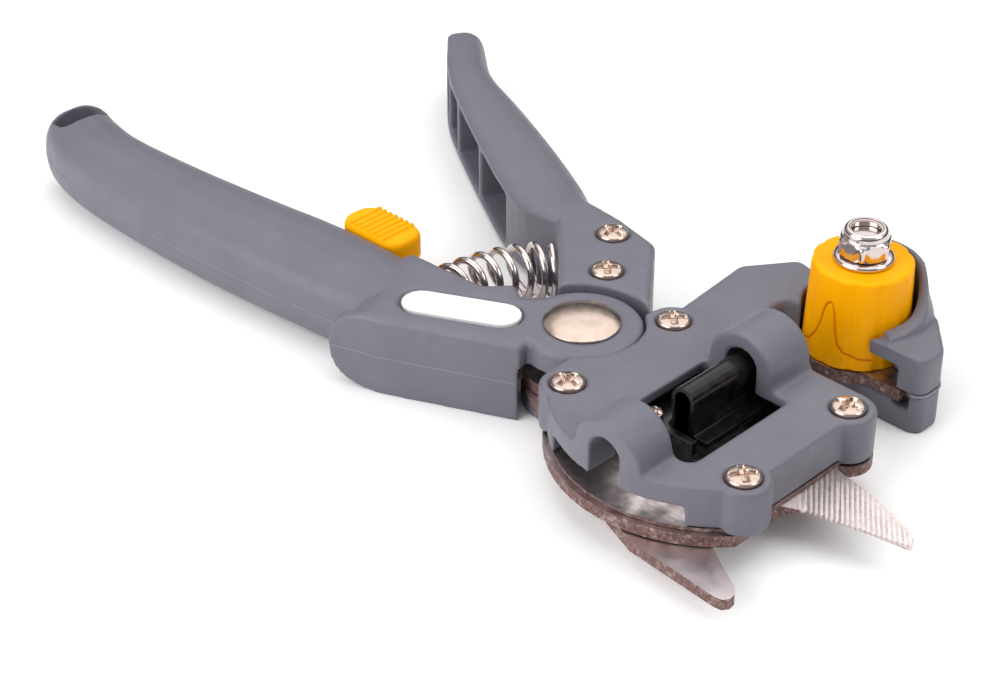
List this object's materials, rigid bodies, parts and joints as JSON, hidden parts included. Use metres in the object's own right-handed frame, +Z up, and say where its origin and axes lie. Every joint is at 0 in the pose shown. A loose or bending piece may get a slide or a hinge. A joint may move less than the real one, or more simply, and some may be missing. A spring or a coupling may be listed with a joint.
{
  "type": "grafting pruner",
  "caption": "Hand pruner with bypass blades and an omega grafting blade that slides through an arched head onto a round anvil, with sprung levers and a sliding lock.",
  "frame": {"origin": "on the pivot axis of the two levers, at the flat underside of the rivet, in the plane that the tool lies on", "axes": "+Z up along the pivot axis, +X from the pivot to the tips of the pruning blades, +Y from the head to the anvil"},
  "size_m": [0.236, 0.1213, 0.0363],
  "materials": {
    "dark_plastic": "fine matte texture",
    "white_plastic": "satin",
    "yellow_plastic": "satin",
    "ground_steel": "ground, with darkened edges",
    "black_steel": "black oxide, semi-gloss",
    "chrome": "polished",
    "warm_nickel": "warm satin"
  },
  "bodies": {
    "fixed_lever": {"long_handle": "dark_plastic", "handle_inlay": "white_plastic", "base_plate": "ground_steel", "guide_plate": "ground_steel", "head_cover": "dark_plastic", "cover_screw_1": "warm_nickel", "cover_screw_2": "warm_nickel", "cover_screw_3": "warm_nickel", "cover_screw_4": "warm_nickel", "arm_underside": "dark_plastic", "anvil_bolt": "chrome", "anvil_washer": "chrome", "anvil_nut": "chrome", "pivot_rivet": "warm_nickel", "pivot_spacer": "chrome", "return_spring": "chrome"},
    "short_lever": {"short_handle": "dark_plastic", "handle_screw_1": "warm_nickel", "handle_screw_2": "warm_nickel", "plain_blade": "ground_steel", "drive_pin": "chrome"},
    "grafting_blade": {"blade_carriage": "black_steel", "omega_blade": "black_steel", "blade_screw": "warm_nickel"},
    "lock": {"lock_slider": "yellow_plastic"},
    "round_anvil": {"anvil": "yellow_plastic"}
  },
  "joints": [
    {"name": "handle_pivot", "type": "hinge", "parent": "fixed_lever", "child": "short_lever", "pos_m": [0, 0, 0], "axis": [0, 0, 1], "range_deg": [0, 25], "stiffness_Nm_per_rad": 1.2, "springref_deg": -20.05, "deforming": ["return_spring"]},
    {"name": "blade_slide", "type": "slide", "parent": "fixed_lever", "child": "grafting_blade", "axis": [0, 1, 0], "range_m": [0, 0.01565]},
    {"name": "lock_slide", "type": "slide", "parent": "fixed_lever", "child": "lock", "axis": [1, 0, 0], "range_m": [0, 0.005]},
    {"name": "anvil_turn", "type": "hinge", "parent": "fixed_lever", "child": "round_anvil", "pos_m": [0.0353, 0.0444, 0.0188], "axis": [0, 0, 1], "range_deg": [-180, 180]}
  ],
  "couplings": [
    {"joint": "blade_slide", "follows": "handle_pivot", "m_per_rad": 0.03586}
  ]
}
